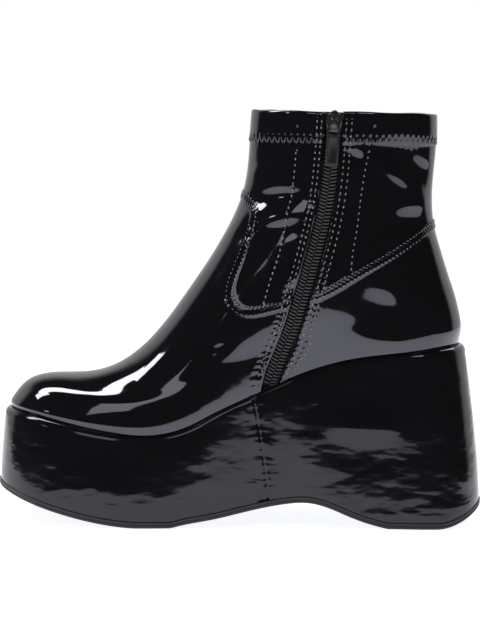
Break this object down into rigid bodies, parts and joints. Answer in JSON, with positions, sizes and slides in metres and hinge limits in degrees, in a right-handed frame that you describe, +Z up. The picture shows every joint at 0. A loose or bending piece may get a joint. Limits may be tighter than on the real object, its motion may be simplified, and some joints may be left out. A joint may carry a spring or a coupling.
{
  "type": "patent leather boot",
  "caption": "Right ankle boot in black patent leather on a covered platform wedge, with a zip up its inner side, a raised seam round the ankle and a folded collar.",
  "frame": {"origin": "on the ground, under the middle of the sole's length and width", "axes": "-X towards the toe, +X towards the heel, -Y towards the inner (zip) side of the foot, +Z up"},
  "size_m": [0.27, 0.0972, 0.2264],
  "materials": {
    "outsole": "matt moulded rubber",
    "wedge_cover": "high-gloss patent",
    "patent_upper": "high-gloss patent",
    "insole": "matt sock lining",
    "zip_tape": "woven tape",
    "zip_coil": "satin nylon",
    "zip_slider": "black satin paint",
    "zip_pull": "black satin paint"
  },
  "bodies": {
    "boot": {"outsole": "outsole", "wedge": "wedge_cover", "upper": "patent_upper", "insole": "insole", "zip_tape": "zip_tape", "zip_chain": "zip_coil", "zip_slider": "zip_slider"},
    "pull": {"zip_pull": "zip_pull"}
  },
  "joints": [
    {"name": "zip_pull_hinge", "type": "hinge", "parent": "boot", "child": "pull", "pos_m": [0.04609, -0.03276, 0.22087], "axis": [-0.9973, 0.0639, 0.0363], "range_deg": [0, 150]}
  ]
}
